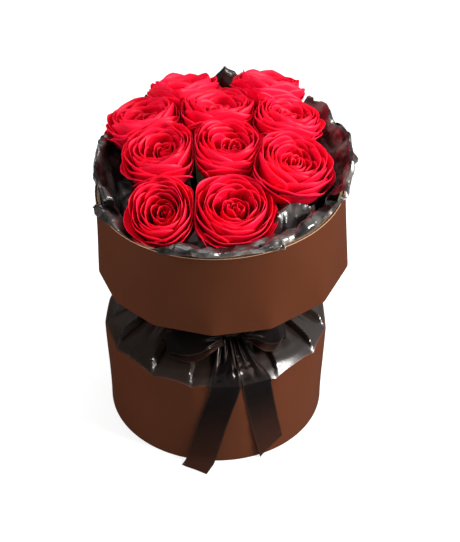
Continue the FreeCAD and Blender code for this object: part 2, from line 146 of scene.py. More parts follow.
class Paint:
    """A material on one Principled shader."""

    def __init__(self, name, **constants):
        self.material = bpy.data.materials.new(name)
        self.material.use_nodes = True
        self.tree = self.material.node_tree
        self.shader = self.tree.nodes["Principled BSDF"]
        for key, value in constants.items():
            self.shader.inputs[key.replace("_", " ")].default_value = value

    def put(self, name, value):
        if isinstance(value, Field):
            self.tree.links.new(value.socket, self.shader.inputs[name])
        else:
            self.shader.inputs[name].default_value = value

    def place(self):
        """The point on the object, in metres."""
        return Field(self.tree, self.tree.nodes.new("ShaderNodeTexCoord").outputs["Object"])

    def attribute(self, name):
        made = self.tree.nodes.new("ShaderNodeAttribute")
        made.attribute_name = name
        return Field(self.tree, made.outputs["Fac"])

    def noise(self, scale, detail=3.0, stretch=(1.0, 1.0, 1.0), at=None):
        at = at or self.place()
        moved = at.node("ShaderNodeMapping", at)
        moved.inputs["Scale"].default_value = stretch
        made = self.tree.nodes.new("ShaderNodeTexNoise")
        self.tree.links.new(moved.outputs[0], made.inputs["Vector"])
        made.inputs["Scale"].default_value = scale
        made.inputs["Detail"].default_value = detail
        return Field(self.tree, made.outputs[0])

    def cells(self, scale):
        made = self.tree.nodes.new("ShaderNodeTexVoronoi")
        self.tree.links.new(self.place().socket, made.inputs["Vector"])
        made.inputs["Scale"].default_value = scale
        return Field(self.tree, made.outputs["Distance"])

    def bump(self, height, depth, strength=1.0):
        made = self.tree.nodes.new("ShaderNodeBump")
        made.inputs["Strength"].default_value = strength
        made.inputs["Distance"].default_value = depth
        self.tree.links.new(height.socket, made.inputs["Height"])
        self.tree.links.new(made.outputs[0], self.shader.inputs["Normal"])


# %% [markdown]
# ## Finishes
# Film, tissue and ribbon are near black or brown and live by their gloss, so their roughness and
# bump carry the look; some of their colour is painted light and shade, as each finish says. Petals
# are matt, with painted shade at the foot and painted light towards the lip. Each finish is one
# Principled shader with a noise that breaks it up, as nothing on a hand-made box is even.

# %% Materials
def film_paint():
    """Brown film with a satin face, and a painted highlight: a pale line on the collar's cut edge."""
    paint = Paint("brown_film", Specular_IOR_Level=0.10, Specular_Tint=(1.0, 0.62, 0.45, 1.0))
    clouds = paint.noise(9.0, 2.0)
    brown = clouds.rise(0.3, 0.75).mix((0.066, 0.0180, 0.0070), (0.076, 0.0215, 0.0090))
    # Painted highlight: a pale line where the collar's cut edge catches the light at the rim.
    edge = paint.attribute("tone") * paint.attribute("along").rise(0.991, 0.996)
    paint.put("Base Color", edge.mix(brown, (0.50, 0.28, 0.18)))
    paint.put("Roughness", clouds * 0.10 + 0.38)
    paint.bump(paint.noise(60.0, 2.0, (1.0, 1.0, 0.25)), 0.0006, 0.35)
    return paint.material


def pleat_paint():
    """The same film where it is gathered, shiny on its folds, and painted dark as the collar's shade."""
    paint = Paint("pleated_film", Specular_IOR_Level=0.85)
    clouds = paint.noise(14.0, 3.0)
    dark = clouds.rise(0.3, 0.8).mix((0.012, 0.007, 0.005), (0.020, 0.011, 0.008))
    # Painted shade: brown only at the outer edge, then darkened where the collar shades the pleats.
    paint.put("Base Color", paint.attribute("along").rise(0.0, 0.05).mix((0.060, 0.018, 0.009), dark))
    paint.put("Roughness", clouds * 0.14 + 0.25)
    paint.bump(paint.noise(110.0, 2.0), 0.0006, 0.3)
    return paint.material


def tissue_paint():
    """Near-black crumpled tissue with a glossy coat, brown cut edges and pale patches of painted light.
    """
    paint = Paint("tissue", Specular_IOR_Level=1.0)
    clouds = paint.noise(26.0, 4.0)
    edge = paint.attribute("along").rise(0.955, 0.995) * clouds.rise(0.35, 0.6)
    # Painted light: pale patches that stand in for the lamps' reflections, strongest on the sheets given
    # most.
    pale = paint.noise(70.0, 3.0).rise(0.40, 0.66) * paint.attribute("tone")
    dark = pale.mix((0.011, 0.0092, 0.0086), (0.090, 0.080, 0.075))
    paint.put("Base Color", edge.mix(dark, (0.10, 0.052, 0.028)))
    paint.put("Roughness", clouds * 0.22 + 0.20)
    paint.bump(paint.cells(150.0) + paint.noise(240.0, 3.0) * 0.4, 0.0010, 0.45)
    return paint.material


def ribbon_paint():
    """Black satin: fine threads across, a woven edge along both sides, and painted shade and reflection.
    """
    paint = Paint("ribbon", Specular_IOR_Level=0.12, Specular_Tint=(1.0, 0.7, 0.6, 1.0))
    across, along = paint.attribute("across"), paint.attribute("along")
    hem = (across - 0.5).size().rise(0.455, 0.475)
    # Painted shade and reflection: near black where it leaves the knot under the collar, and browner
    # towards the ends, where it mirrors the brown film.
    satin = along.rise(0.40, 1.0).mix((0.0040, 0.0030, 0.0030), (0.026, 0.0100, 0.0065))
    paint.put("Coat Weight", (1.0 - along.rise(0.22, 0.55)) * 0.45)
    paint.put("Base Color", (hem * 0.4).mix(satin, (0.030, 0.020, 0.017)))
    paint.put("Roughness", hem * 0.15 + 0.30)
    paint.bump((along * 900.0).sine() * 0.5 + paint.noise(70.0, 2.0) * 2.0, 0.00025, 0.4)
    return paint.material


def petal_paint():
    """Velvety red, with painted shade at the foot and in the heart, and painted light towards the lip.
    """
    paint = Paint("petals", Specular_IOR_Level=0.15, Subsurface_Weight=0.06,
                  Subsurface_Scale=0.003)
    along, across = paint.attribute("along"), paint.attribute("across")
    tone = paint.attribute("tone")
    clouds = paint.noise(38.0, 3.0)
    # Painted shade: dark at the foot, where the petals hollow in, and darker on the inner petals.
    depth = (along * 1.35 + clouds * 0.30 - 0.42 + tone.math("MINIMUM", 0.0)).clamp()
    body = depth.mix((0.070, 0.000, 0.0015), (0.76, 0.0004, 0.021))
    # Painted light: lit copies of the red on a random share of the petals.
    lit = (tone * depth).clamp().mix(body, (0.88, 0.008, 0.050))
    # Painted highlight: lighter pink along the edges and the lip.
    rim = ((across - 0.5).size() * 1.9) ** 8.0 + along.rise(0.93, 1.0)
    paint.put("Base Color", (rim.clamp() * clouds.rise(0.35, 0.65) * 0.5).mix(lit, (0.90, 0.020, 0.065)))
    paint.put("Roughness", clouds * 0.15 + 0.42)
    veins = (across * 130.0 + clouds * 9.0).sine() * 0.15 + paint.noise(300.0, 2.0)
    paint.bump(veins, 0.0004, 0.16)
    return paint.material


def green_paint(name, dark, light, rough):
    """Leaf green with soft streaks along the stem."""
    paint = Paint(name, Roughness=rough, Specular_IOR_Level=0.4)
    streaks = paint.noise(160.0, 3.0, (1.0, 1.0, 0.12))
    paint.put("Base Color", streaks.rise(0.3, 0.7).mix(dark, light))
    paint.bump(streaks, 0.0004, 0.4)
    return paint.material


def foam_paint():
    """Wet floral foam: fine open cells."""
    paint = Paint("foam", Roughness=0.85)
    grain = paint.cells(900.0)
    paint.put("Base Color", grain.rise(0.1, 0.6).mix((0.012, 0.070, 0.024),
                                                     (0.045, 0.190, 0.070)))
    paint.bump(grain, 0.0008, 0.8)
    return paint.material


def card_paint():
    """Grey-brown card with short fibres."""
    paint = Paint("card", Roughness=0.82, Specular_IOR_Level=0.25)
    fibres = paint.noise(320.0, 4.0, (1.0, 1.0, 0.2))
    paint.put("Base Color", fibres.rise(0.35, 0.7).mix((0.20, 0.135, 0.085),
                                                       (0.30, 0.215, 0.140)))
    paint.bump(fibres, 0.0003, 0.4)
    return paint.material


def plain_paint(name, dark, light, rough, specular=0.5):
    """A moulded or rolled plastic with the slightest unevenness."""
    paint = Paint(name, Specular_IOR_Level=specular)
    clouds = paint.noise(30.0, 2.0)
    paint.put("Base Color", clouds.rise(0.3, 0.7).mix(dark, light))
    paint.put("Roughness", clouds * 0.1 + rough)
    return paint.material


MATERIALS = {
    "brown_film": film_paint(), "pleated_film": pleat_paint(), "tissue": tissue_paint(),
    "ribbon": ribbon_paint(), "petals": petal_paint(), "foam": foam_paint(),
    "card": card_paint(),
    "sepals": green_paint("sepals", (0.020, 0.070, 0.014), (0.060, 0.150, 0.030), 0.5),
    "stems": green_paint("stems", (0.030, 0.090, 0.020), (0.085, 0.190, 0.045), 0.42),
    "pot": plain_paint("pot", (0.010, 0.010, 0.010), (0.016, 0.016, 0.016), 0.3),
    "tape": plain_paint("tape", (0.55, 0.50, 0.42), (0.66, 0.61, 0.52), 0.35),
    "tie": plain_paint("tie", (0.012, 0.011, 0.010), (0.022, 0.020, 0.018), 0.4),
}


# %% [markdown]
# ## Thin skins
# Every film, ribbon and petal is a grid of points that is given a thickness. `along` and
# `across` run from 0 to 1 over each grid and drive the materials.

# %% Thin skins
def unit(vectors):
    return vectors / np.maximum(np.linalg.norm(vectors, axis=-1, keepdims=True), 1e-9)


def skin(points, gauge, around=False):
    """Vertices and quads of a closed skin on a grid; around joins the last column to the first."""
    rows, columns = points.shape[:2]
    wide = np.concatenate([points[:, -1:], points, points[:, :1]], axis=1) if around else points
    across = np.gradient(wide, axis=1)
    across = across[:, 1:-1] if around else across
    normal = unit(np.cross(across, np.gradient(points, axis=0)))
    vertices = np.concatenate([(points + normal * gauge / 2).reshape(-1, 3),
                               (points - normal * gauge / 2).reshape(-1, 3)])
    index = np.arange(rows * columns).reshape(rows, columns)
    if around:
        index = np.concatenate([index, index[:, :1]], axis=1)
    back = rows * columns
    a, b, c, d = index[:-1, :-1], index[:-1, 1:], index[1:, 1:], index[1:, :-1]
    quads = [np.stack([a, b, c, d], -1).reshape(-1, 4),
             np.stack([d, c, b, a], -1).reshape(-1, 4) + back]

    def rim(first, second):
        quads.append(np.stack([first, second, second + back, first + back], -1))

    rim(index[0, 1:], index[0, :-1])
    rim(index[-1, :-1], index[-1, 1:])
    if not around:
        rim(index[:-1, 0], index[1:, 0])
        rim(index[1:, -1], index[:-1, -1])
    return vertices, np.concatenate(quads)


def skin_mesh(name, grids, gauge, around=False, sharp=None, tones=None):
    """One mesh from grids of points in millimetres, with the attributes that materials read."""
    vertices, quads, across, along, tone, start = [], [], [], [], [], 0
    for number, grid in enumerate(grids):
        corner, faces = skin(grid, gauge, around)
        rows, columns = grid.shape[:2]
        u, v = np.meshgrid(np.linspace(0, 1, columns), np.linspace(0, 1, rows))
        vertices.append(corner)
        quads.append(faces + start)
        across.append(np.tile(u.ravel(), 2))
        along.append(np.tile(v.ravel(), 2))
        # Each grid's share of painted light or shade, which the materials read.
        tone.append(np.full(len(corner), tones[number] if tones is not None else 0.0))
        start += len(corner)
    vertices, quads = np.concatenate(vertices) * MM, np.concatenate(quads)
    mesh = bpy.data.meshes.new(name)
    mesh.from_pydata(vertices.tolist(), [], quads.tolist())
    for key, values in (("across", across), ("along", along), ("tone", tone)):
        mesh.attributes.new(key, "FLOAT", "POINT").data.foreach_set(
            "value", np.concatenate(values).astype(np.float32))
    corners = np.empty(len(mesh.loops), int)
    mesh.loops.foreach_get("vertex_index", corners)
    uv = np.stack([np.concatenate(across), np.concatenate(along)], -1)[corners]
    mesh.uv_layers.new(name="UVMap").data.foreach_set("uv", uv.ravel().astype(np.float32))
    mesh.polygons.foreach_set("use_smooth", np.ones(len(mesh.polygons), bool))
    if sharp is not None:
        mesh.set_sharp_from_angle(angle=math.radians(sharp))
    return mesh


def placed(name, mesh):
    """An object at the origin that shows a mesh."""
    made = bpy.data.objects.new(name, mesh)
    bpy.context.scene.collection.objects.link(made)
    return made


def piece(name, grids, slot, gauge, **how):
    """One object from grids of points in millimetres, with its material."""
    made = placed(name, skin_mesh(name, grids, gauge, **how))
    made.data.materials.append(MATERIALS[slot])
    print(f"{name:22s} {len(made.data.polygons):6d} quads")
    return made


def smooth(value, low=0.0, high=1.0):
    share = np.clip((value - low) / (high - low), 0, 1)
    return share * share * (3 - 2 * share)


def polar(bearing, radius, height):
    """Points from bearings in degrees, radii and heights."""
    angle = np.radians(bearing)
    bearing, radius, height = np.broadcast_arrays(angle, radius, height)
    return np.stack([radius * np.cos(bearing), radius * np.sin(bearing), height], -1)


def crumple(across, along, seed, lines, depth, stretch=1.0):
    """Height of a crumpled sheet: facets between creases that cross it at random.

    across and along are in millimetres.
    """
    rng = np.random.default_rng(seed)
    middle = np.array([across.mean(), along.mean()])
    reach = max(np.ptp(across), np.ptp(along)) / 2
    height = np.zeros(np.broadcast(across, along).shape)
    for _ in range(lines):
        angle = rng.uniform(-0.5, 0.5) * math.pi * stretch
        offset = rng.uniform(-reach, reach)
        distance = ((across - middle[0]) * math.cos(angle)
                    + (along - middle[1]) * math.sin(angle) - offset)
        height = height + rng.choice((-1.0, 1.0)) * np.abs(distance)
    height = height - height.mean()
    return height * depth / max(height.std(), 1e-9)


def facets(across, along, cell, depth, seed):
    """Height of a crumpled sheet: flat triangles about a cell wide, with sharp creases between.

    across and along are in millimetres.
    """
    heights = np.random.default_rng(seed).uniform(-1, 1, (64, 64))
    u = across / cell + 0.40 * np.sin(along / cell * 1.3 + seed)
    v = along / cell + 0.40 * np.sin(across / cell * 1.1 + 2 * seed)
    column, row = np.floor(u).astype(int), np.floor(v).astype(int)
    s, t = u - column, v - row

    def corner(right, up):
        return heights[(column + right) % 64, (row + up) % 64]

    near = corner(0, 0) * (1 - s - t) + corner(1, 0) * s + corner(0, 1) * t
    far = corner(1, 1) * (s + t - 1) + corner(0, 1) * (1 - s) + corner(1, 0) * (1 - t)
    return depth * np.where(s + t < 1, near, far)


# %% [markdown]
# ## Wrapped films
# The film is pulled over the drum's edge and gathered at the waist, so it is faceted between
# fold tips. The collar hangs in the same way and is round at its rim.

# %% Wrapped films
DRUM_TOP = 86.6
FILM_RADIUS = 93.1
COLLAR_LOW, RIM = 149.6, 221.6
COLLAR_RADIUS = 100.9
COLLAR_OFFSET, COLLAR_TILT = 4.6, math.radians(2.3)
WAIST_LOW, WAIST_HIGH, WAIST_RADIUS = 99.6, 124.6, 52.6
DRUM_TIPS = (14, 39, 66, 92, 118, 143, 165, 187, 209, 237, 258, 280, 301, 328, 348)
COLLAR_TIPS = (17, 45, 73, 102, 131, 161, 189, 214, 238, 265, 291, 320, 349)


def on_collar(points):
    """From the collar's own frame, level and central, to its place on the waist."""
    middle = np.array([0, 0, (COLLAR_LOW + RIM) / 2])
    x, y, z = np.moveaxis(points - middle, -1, 0)
    cosine, sine = math.cos(COLLAR_TILT), math.sin(COLLAR_TILT)
    turned = np.stack([x * cosine - z * sine, y, x * sine + z * cosine], -1)
    return turned + middle + np.array([COLLAR_OFFSET, 0, 0])


def between(bearing, tips):
    """For each bearing, how far it is from one fold tip to the next, and that side's half."""
    tips = np.sort(np.asarray(tips, float) % 360)
    closed = np.append(tips, tips[0] + 360)
    turned = (bearing - tips[0]) % 360 + tips[0]
    at = np.clip(np.searchsorted(closed, turned, side="right") - 1, 0, len(tips) - 1)
    return (turned - closed[at]) / (closed[at + 1] - closed[at]), (closed[at + 1] - closed[at]) / 2, at


def faceted(bearing, tips, corner, least):
    """Radius of a film stretched between fold tips of radius corner, over a drum of radius least."""
    share, half, _ = between(bearing, tips)
    inward = np.radians((share * 2 - 1) * half)
    return np.maximum(corner * np.cos(np.radians(half)) / np.cos(inward), least)


def soften(values, steps):
    """A row of values that closes on itself, averaged over its neighbours."""
    for _ in range(steps):
        values = (np.roll(values, 1, -1) + 2 * values + np.roll(values, -1, -1)) / 4
    return values


BEARING_STEP = 0.75
round_bearing = np.arange(0, 360, BEARING_STEP)
drum_edge = soften(faceted(round_bearing, DRUM_TIPS, 96.0, FILM_RADIUS), 2)
collar_edge = soften(faceted(round_bearing, COLLAR_TIPS, 105.0, COLLAR_RADIUS), 2)


def near_tip(bearing, tips, wide):
    """1 at a fold tip, falling away over so many degrees."""
    share, half, _ = between(bearing, tips)
    return np.exp(-np.minimum(share, 1 - share) * 2 * half / wide)


drum_dip = -3.0 * soften(near_tip(round_bearing, DRUM_TIPS, 3.2), 1)


def blurred(edge, degrees):
    """A closed row of radii with its corners rounded over so many degrees."""
    waves = np.fft.rfft(edge)
    order = np.arange(len(waves))
    return np.fft.irfft(waves * np.exp(-0.5 * (order * np.radians(degrees)) ** 2), len(edge))


def wall(edge, plain, low, high, rows, edge_low, dip=0.0):
    """A wrapped wall that is round at one end and faceted at the other."""
    height = np.concatenate([[low + 0.2, low + 0.05], np.linspace(low, high, rows)])
    share = np.clip((height - low) / (high - low), 0, 1)
    away = share if edge_low else 1 - share
    rings = []
    for level, far in zip(share, away):
        bent = blurred(edge, 0.6 + 13 * far)
        fade = 1 - smooth(far, 0.15, 1.0)
        ripple = 0.16 * np.sin(np.radians(round_bearing * 9 + level * 90))
        ripple = ripple + 0.12 * np.sin(np.radians(round_bearing * 17 - level * 200))
        rings.append(np.maximum(plain + (bent - plain) * fade, plain)
                     + ripple * np.sin(np.pi * level))
    radius = np.array(rings)
    radius[0] -= 1.6
    radius[1] -= 0.4
    drop = smooth(share, 0.55, 1.0)[:, None] ** 2 * dip
    return polar(round_bearing[None], radius, height[:, None] + drop)


drum_wall = wall(drum_edge, FILM_RADIUS, 0.0, DRUM_TOP, 30, False, drum_dip)
collar_wall = on_collar(wall(collar_edge, COLLAR_RADIUS + 0.3, COLLAR_LOW, RIM + 0.8, 30, True))
drum_film = piece("drum_film", [drum_wall], "brown_film", FILM_GAUGE, around=True, sharp=40)
# Only the collar's film is given the painted highlight on its cut edge.
collar_film = piece("collar_film", [collar_wall], "brown_film", FILM_GAUGE, around=True, sharp=40,
                    tones=[1.0])
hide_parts("drum_wrap")
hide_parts("collar_wrap")


# %% [markdown]
# ## Gathered films
# Between drum and waist, and between waist and collar, the film runs in under the tie and lies in
# overlapping pleats. Each pleat starts at a fold tip and dies away inwards.

# %% Gathered films
def gathered(edge, tips, stations, depth, facing, seed, dip=0.0):
    """Film that runs in from a faceted edge to the waist in overlapping pleats.

    stations are (radius, height) from the edge inwards; facing is 1 where it is seen from above.
    """
    rng = np.random.default_rng(seed)
    rows = 34
    share = np.linspace(0, 1, rows)[:, None]
    place = np.linspace(0, 1, len(stations))
    radius = np.interp(share, place, [s[0] for s in stations])
    height = np.interp(share, place, [s[1] for s in stations])
    radius = radius + (edge[None] - stations[0][0]) * np.clip(1 - share * 2.2, 0, 1)
    drift = 14 * np.cos(np.radians(round_bearing[None])) * share
    turned = round_bearing[None] - drift
    across, half, number = between(turned, tips)
    middle = (np.sort(np.asarray(tips))[number] + half) % 360
    across = np.where((middle > 90) & (middle < 270), across, 1 - across)
    lift = rng.uniform(0.65, 1.25, len(tips))[number]
    lean = rng.uniform(-0.25, 0.25, len(tips))[number]
    fold = across ** (1.3 + lean) * (1 - smooth(across, 0.93, 1.0))
    second = np.abs(((across * (2 + number % 2) + share * 0.8) % 1) - 0.5) * 2
    third = np.abs(((across * 5 + share * 1.7 + number * 0.37) % 1) - 0.5) * 2
    strength = smooth(share, 0.0, 0.22) * (1 - 0.62 * smooth(share, 0.45, 1.0))
    pleat = depth * strength * (1.15 * fold * lift + 0.26 * second * smooth(share, 0.25, 0.6)
                                + 0.20 * third * smooth(share, 0.45, 0.8) - 0.30)
    arc = np.radians(round_bearing[None]) * radius
    creased = crumple(arc + 0 * share, 60 * share + 0 * arc, seed, 60, 0.55)
    height = height + dip * np.clip(1 - share * 5, 0, 1)
    raised = pleat + creased * smooth(share, 0, 0.2)
    height = height + facing * raised * (1 - smooth(share, 0.72, 0.95))
    radius = radius + (pleat * 0.8 - 0.5) * smooth(share, 0.62, 0.95)
    return polar(round_bearing[None], radius, height)


shoulder_grid = gathered(
    drum_edge, DRUM_TIPS,
    [(FILM_RADIUS, DRUM_TOP), (88, 90.2), (80, 94.0), (70, 97.2), (61, 99.6), (WAIST_RADIUS, 103),
     (WAIST_RADIUS - 1.6, 112.0)], 5.4, 1.0, 7, drum_dip)
shoulder = piece("shoulder_pleats", [shoulder_grid], "pleated_film", PLEAT_GAUGE, around=True, sharp=24)
skirt_grid = gathered(
    collar_edge, COLLAR_TIPS,
    [(COLLAR_RADIUS, COLLAR_LOW), (94, 147.4), (84, 142.5), (72, 136.5), (62, 130.5),
     (WAIST_RADIUS, 122), (WAIST_RADIUS - 1.6, 112.5)], 4.6, -1.0, 11)
tilted = on_collar(skirt_grid)
held_in = smooth(np.linspace(0, 1, len(skirt_grid)), 0.0, 0.85)[:, None, None]
skirt_grid = tilted * (1 - held_in) + skirt_grid * held_in
skirt = piece("skirt_pleats", [skirt_grid[::-1]], "pleated_film", PLEAT_GAUGE, around=True, sharp=24)
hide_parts("shoulder_film")
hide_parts("skirt_film")


# %% [markdown]
# ## Heads
# Tissue and petals both need to know where each rose stands, so its place, axis and radius are
# read once from the frame.

# %% Heads
def node_points(name):
    mesh = frame["nodes"][name].data
    points = np.empty(len(mesh.vertices) * 3)
    mesh.vertices.foreach_get("co", points)
    return points.reshape(-1, 3) / MM


HEAD_DEPTH, FOOT_BELOW = 1.55, 0.85


def head_frame(name):
    """Middle of a head's widest ring, its axis along the stem, and its radius."""
    axis = next(unit(np.array(j["axis"], float)) for j in frame["joints"] if j["child"] == name)
    points = node_points(name + "_head")
    along = points @ axis
    radius = np.ptp(along) / HEAD_DEPTH
    foot = points[along < along.min() + 0.05].mean(axis=0)
    return foot + axis * FOOT_BELOW * radius, axis, radius


HEADS = {name: head_frame(name) for name in ROSES}
# How far each rose is open, which way it is turned, how far its heart leans (right, up), how
# much higher its lips stand, how wide it is, and how far it tips to the front, in degrees.
HEARTS = {
    "rose_01": (0.90, 20, 0.12, -0.06, 0.16, 0.90, 14),
    "rose_02": (1.00, 75, 0.10, -0.02, 0.02, 1.00, 3),
    "rose_03": (1.00, 140, 0.06, 0.03, 0.16, 0.97, 4),
    "rose_04": (0.92, 200, 0.16, 0.02, 0.18, 0.95, 5),
    "rose_05": (0.85, 265, 0.20, 0.00, 0.14, 1.00, 4),
    "rose_06": (0.95, 320, 0.12, -0.05, 0.08, 1.00, 0),
    "rose_07": (1.05, 15, 0.02, -0.10, 0.04, 1.00, 0),
    "rose_08": (0.80, 100, 0.06, 0.05, 0.00, 0.97, 0),
    "rose_09": (1.00, 160, 0.00, -0.10, 0.14, 1.00, -6),
    "rose_10": (1.05, 230, 0.06, -0.06, 0.14, 0.96, -6),
}


def tipped(name):
    """Right, back and up of a rose as it has tipped over its foot, and the middle of its head."""
    middle, axis, radius = HEADS[name]
    tip = math.radians(HEARTS[name][6])
    right = unit(np.cross(np.array([0.0, 1.0, 0.0]), axis))
    back = np.cross(axis, right)
    up = axis * math.cos(tip) - back * math.sin(tip)
    return right, np.cross(up, right), up, middle + (up - axis) * 0.4 * radius


# %% [markdown]
# ## Tissue
# Each sheet is folded: an inner flap lies towards the roses, the fold is tucked down inside the
# collar, and the outer part stands up and leans out over the rim.

# %% Tissue
# Bearing of the middle, half width in degrees, height of the tips over the rim, lean out,
# height of the inner flap, and how much painted light shows in its pale patches.
TISSUE = {
    "tissue_front": (270, 27, 9, 3, 7, 0.5), "tissue_front_right": (315, 27, 14, 3, 12, 0.9),
    "tissue_right": (2, 27, 32, 6, 10, 1.3), "tissue_back_right": (43, 27, 35, 4, 6, 1.3),
    "tissue_back": (82, 27, 43, 7, 6, 0.4), "tissue_back_left": (130, 27, 43, 2, 6, 0.5),
    "tissue_left": (180, 27, 27, -1, 8, 0.8), "tissue_front_left": (225, 27, 12, 3, 9, 0.6),
}
BESIDE_HEADS = ("tissue_right", "tissue_left")
PETAL_REACH = 1.12


def tissue_grid(bearing, half, tall, lean, flap, seed):
    """A folded, crumpled sheet in the collar's frame."""
    rows, columns = 84, 84
    across = np.linspace(-1, 1, columns)[None]
    share = np.linspace(0, 1, rows)[:, None]
    place = np.array([0, 0.14, 0.28, 0.36, 0.50, 0.66, 0.79, 0.87, 1.0])
    out = np.array([62, 72, 80, 84, 87, 93 + lean * 0.5, 98 + lean, 101 + lean, 103 + lean])
    over = np.array([flap * 0.5, flap, 0, -10, 0, tall * 0.50, tall * 0.95, tall, tall * 0.92 - 2])
    radius = np.interp(share, place, out) + 0 * across
    height = np.interp(share, place, over) + 0 * across
    lumps = facets(across * half * 1.6, 0 * across, 12.0, 1.0, seed + 60)
    drop = 0.22 * across ** 2 + 0.14 * across ** 6 + 0.16 * lumps
    height = height - tall * drop * smooth(share, 0.50, 0.85)
    base = polar(bearing + across * half, radius, RIM + height)
    steps = np.linalg.norm(np.diff(base, axis=0), axis=-1).mean(axis=1)
    arc, run = across * half * 1.65 + 0 * share, np.append(0, np.cumsum(steps))[:, None] + 0 * across
    free = np.where(share < 0.36, 1 - smooth(share, 0.18, 0.36), smooth(share, 0.42, 0.62))
    push = (facets(arc, run, 19.0, 5.6, seed) + facets(arc, run, 9.0, 2.5, seed + 40)
            + facets(arc, run, 4.4, 0.5, seed + 80)) * (0.45 + 0.55 * free)
    normal = unit(np.cross(np.gradient(base, axis=1), np.gradient(base, axis=0)))
    slide = unit(np.gradient(base, axis=1)) * (facets(arc, run, 14.0, 3.0, seed + 20) * free)[..., None]
    grid = base + normal * push[..., None] + slide
    reach = np.hypot(grid[..., 0], grid[..., 1])
    limit = np.where(grid[..., 2] < RIM + 1.5, 95.5, 200.0)
    grid[..., :2] *= (np.minimum(reach, limit) / reach)[..., None]
    return grid


def clear_of_heads(points, gap, beside):
    """Presses tissue down under the rose heads, in a funnel that widens away from each head.

    A sheet that stands beside the heads has only its inner flap under them, and moves out.
    """
    under_them = (np.arange(len(points)) < len(points) * (0.34 if beside else 1.0))[:, None]
    outwards = unit(points * np.array([1.0, 1.0, 0.0]))
    for name, (_, _, radius) in HEADS.items():
        _, _, axis, middle = tipped(name)
        apart = points - middle
        along = apart @ axis
        sideways = apart - along[..., None] * axis
        reach = np.linalg.norm(sideways, axis=-1)
        wide = PETAL_REACH * radius
        share = np.clip(reach / wide, 0, 1)
        ceiling = np.where(share < 0.97, -0.92 * radius * np.sqrt(1 - share ** 2) - gap,
                           -0.22 * radius + (reach - 0.97 * wide) * 2.4)
        down = np.where(under_them, np.maximum(along - ceiling, 0), 0)
        points = points - down[..., None] * axis
        belly = radius * np.sqrt(np.clip(1 - (np.minimum(along, 0) / radius / 0.92) ** 2, 0, 1))
        out = np.where(~under_them & (along < 0.9 * radius), np.clip(belly + gap - reach, 0, 8), 0)
        points = points + out[..., None] * outwards
    return points


for number, (name, (bearing, half, tall, lean, flap, pale)) in enumerate(TISSUE.items()):
    grid = on_collar(tissue_grid(bearing, half, tall, lean, flap, 20 + number))
    grid = clear_of_heads(grid, 1.2, name in BESIDE_HEADS)
    sheet = piece(name + "_sheet", [grid], "tissue", TISSUE_GAUGE, sharp=14, tones=[pale])
    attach(sheet, "root")
    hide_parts(name)

for made in (drum_film, collar_film, shoulder, skirt):
    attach(made, "root")


# %% [markdown]
# ## Ribbon and bow
# A satin ribbon goes round the waist and is tied in a bow with two loops and two hanging tails.
# Tails and loops follow a smooth line through a few places; the knot is one plain turn with no
# folds, so it shows less cloth than the real ribbon holds.

# %% Ribbon
BOW = 282.0
RIBBON = 25.0
bow_out = polar(BOW, 1.0, 0.0)
bow_side = np.cross(UP, bow_out)
waist_middle = (WAIST_LOW + WAIST_HIGH) / 2
KNOT_RISE = 4.0


def through(points, count):
    """A smooth line through points, evenly cut into count places."""
    points = np.asarray(points, float)
    closed = np.concatenate([2 * points[:1] - points[1:2], points, 2 * points[-1:] - points[-2:-1]])
    fine = []
    for i in range(len(points) - 1):
        a, b, c, d = closed[i:i + 4]
        t = np.linspace(0, 1, 24, endpoint=False)[:, None]
        fine.append(0.5 * (2 * b + (c - a) * t + (2 * a - 5 * b + 4 * c - d) * t ** 2
                           + (3 * b - a - 3 * c + d) * t ** 3))
    fine = np.concatenate(fine + [points[-1:]])
    length = np.append(0, np.cumsum(np.linalg.norm(np.diff(fine[:, :3], axis=0), axis=1)))
    wanted = np.linspace(0, length[-1], count)
    return np.stack([np.interp(wanted, length, fine[:, k]) for k in range(fine.shape[1])], -1)


def clear_of_drum(points, gap):
    """Pushes ribbon out of the drum's film, and off the shoulder's pleats."""
    x, y, z = np.moveaxis(points, -1, 0)
    reach = np.hypot(x, y)
    bearing = np.degrees(np.arctan2(y, x)) % 360
    column = np.round(bearing / BEARING_STEP).astype(int) % len(round_bearing)
    rows = np.abs(drum_wall[:, 0, 2][:, None] - z.ravel()).argmin(axis=0)
    film = np.hypot(*np.moveaxis(drum_wall[rows, column.ravel(), :2], -1, 0)).reshape(z.shape)
    beside = z < DRUM_TOP + 0.5
    wanted = np.where(beside & (reach > 86), np.maximum(reach, film + gap), reach)
    over = shoulder_grid[:26]
    ring = np.hypot(over[..., 0], over[..., 1])[:, column.ravel()]
    nearest = np.abs(ring - reach.ravel()[None]).argmin(axis=0)
    top = over[nearest, column.ravel(), 2].reshape(z.shape)
    z = np.where((reach < 94) & (z > 80), np.maximum(z, top + gap), z)
    return np.stack([x * wanted / reach, y * wanted / reach, z], -1)


def tail_grid(stations, seed, cut):
    """A run of ribbon through stations of bearing, radius, height, width and face angle."""
    rng = np.random.default_rng(seed)
    rows, columns = 90, 21
    line = []
    for bearing, radius, height, width, facing in stations:
        line.append([*polar(bearing, radius, height), bearing, width, facing])
    line = through(line, rows)
    side = np.cross(UP, polar(line[:, 3], 1.0, 0.0))
    out = polar(line[:, 3], 1.0, 0.0)
    tilt = np.radians(line[:, 5])[:, None]
    face = out * np.sin(tilt) + UP * np.cos(tilt)
    across = np.linspace(-1, 1, columns)[None, :, None]
    share = np.linspace(0, 1, rows)[:, None, None]
    width = line[:, 4][:, None, None]
    grid = line[:, None, :3] + side[:, None] * across * width / 2
    gather = np.clip((RIBBON - width) / RIBBON, 0, 1)
    folds = 2.6 * gather * np.cos(across * 7.5 + rng.uniform(0, 3))
    wave = 0.45 * np.sin(share * 17 + across * 1.3 + seed) * smooth(share, 0.3, 0.5)
    grid = grid + face[:, None] * (folds + np.abs(wave) + 0.25)
    along = np.gradient(grid, axis=0)
    last = smooth(share, 0.80, 1.0)
    grid = grid + unit(along) * last * cut * across * RIBBON / 2
    return clear_of_drum(grid, 0.7)


